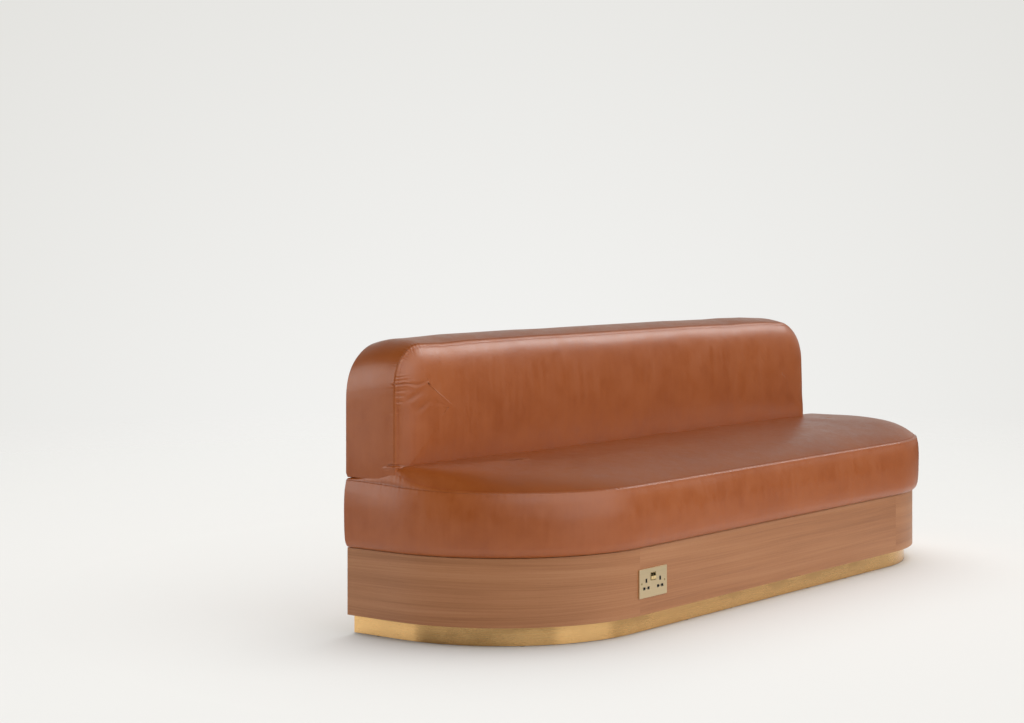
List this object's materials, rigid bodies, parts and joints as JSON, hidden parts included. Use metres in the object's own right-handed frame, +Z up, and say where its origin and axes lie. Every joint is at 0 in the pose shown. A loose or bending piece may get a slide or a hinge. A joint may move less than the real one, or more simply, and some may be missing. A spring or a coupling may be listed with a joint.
{
  "type": "upholstered banquette bench",
  "caption": "Long banquette bench with bowed ends: tan leather seat and shorter boxed back, veneered base, recessed brass kick plate and a mains socket in the front.",
  "frame": {"origin": "on the floor, under the centre of the bench's overall length and depth", "axes": "+X along the bench towards the end where the back stops short, -Y out of the front, +Z up"},
  "size_m": [2.69, 0.722, 0.8863],
  "materials": {
    "tan_leather": "semi-gloss tan leather over foam",
    "veneer": "satin walnut-coloured veneer",
    "plywood": "birch plywood, unfinished",
    "timber": "planed softwood",
    "satin_brass": "brushed satin",
    "plate_brass": "brushed, pale",
    "polished_brass": "polished",
    "contact_brass": "plain",
    "black_plastic": "matt moulding",
    "grey_plastic": "matt moulding",
    "nylon": "moulded nylon",
    "black_rubber": "moulded",
    "zinc_steel": "zinc plated"
  },
  "bodies": {
    "bench": {"kick_plate": "satin_brass", "plinth_front_rail": "plywood", "plinth_left_corner": "plywood", "plinth_right_corner": "plywood", "plinth_rear_rail": "plywood", "plinth_cross_rails": "plywood", "glides": "nylon", "deck": "plywood", "deck_screws": "zinc_steel", "left_apron": "plywood", "front_apron": "plywood", "right_apron": "plywood", "left_veneer": "veneer", "front_veneer": "veneer", "right_veneer": "veneer", "rear_panel": "plywood", "cross_ribs": "plywood", "seat_board": "plywood", "seat_board_screws": "zinc_steel", "seat_pad_board": "plywood", "seat_cushion": "tan_leather", "pad_screws": "zinc_steel", "back_cushion": "tan_leather", "outside_back_panel": "tan_leather", "back_front_board": "plywood", "back_top_rail": "timber", "back_corner_blocks": "timber", "back_end_stiles": "timber", "back_bottom_rails": "timber", "back_legs": "timber", "leg_bolts": "zinc_steel", "socket_faceplate": "plate_brass", "faceplate_screws": "plate_brass", "outlet_moulding_left": "black_plastic", "switch_moulding": "black_plastic", "outlet_moulding_right": "black_plastic", "axle_bar": "zinc_steel", "shutter_spring_left": "zinc_steel", "shutter_spring_right": "zinc_steel", "socket_contacts": "contact_brass", "contact_carrier": "black_plastic", "busbars": "contact_brass", "terminal_blocks": "contact_brass", "back_box": "zinc_steel", "back_box_screws": "zinc_steel", "box_grommet": "black_rubber", "cable_grommet": "black_rubber"},
    "rocker_left": {"rocker_left": "polished_brass"},
    "rocker_right": {"rocker_right": "polished_brass"},
    "shutter_left": {"shutter_left": "grey_plastic"},
    "shutter_right": {"shutter_right": "grey_plastic"}
  },
  "joints": [
    {"name": "rocker_left_switch", "type": "hinge", "parent": "bench", "child": "rocker_left", "pos_m": [-0.741, -0.34, 0.1705], "axis": [1, 0, 0], "range_deg": [0, 12]},
    {"name": "rocker_right_switch", "type": "hinge", "parent": "bench", "child": "rocker_right", "pos_m": [-0.741, -0.34, 0.1705], "axis": [1, 0, 0], "range_deg": [0, 12]},
    {"name": "shutter_left_slide", "type": "slide", "parent": "bench", "child": "shutter_left", "axis": [0, 0, -1], "range_m": [0, 0.006], "stiffness_N_per_m": 60, "springref_m": -0.003, "deforming": ["shutter_spring_left"]},
    {"name": "shutter_right_slide", "type": "slide", "parent": "bench", "child": "shutter_right", "axis": [0, 0, -1], "range_m": [0, 0.006], "stiffness_N_per_m": 60, "springref_m": -0.003, "deforming": ["shutter_spring_right"]}
  ]
}
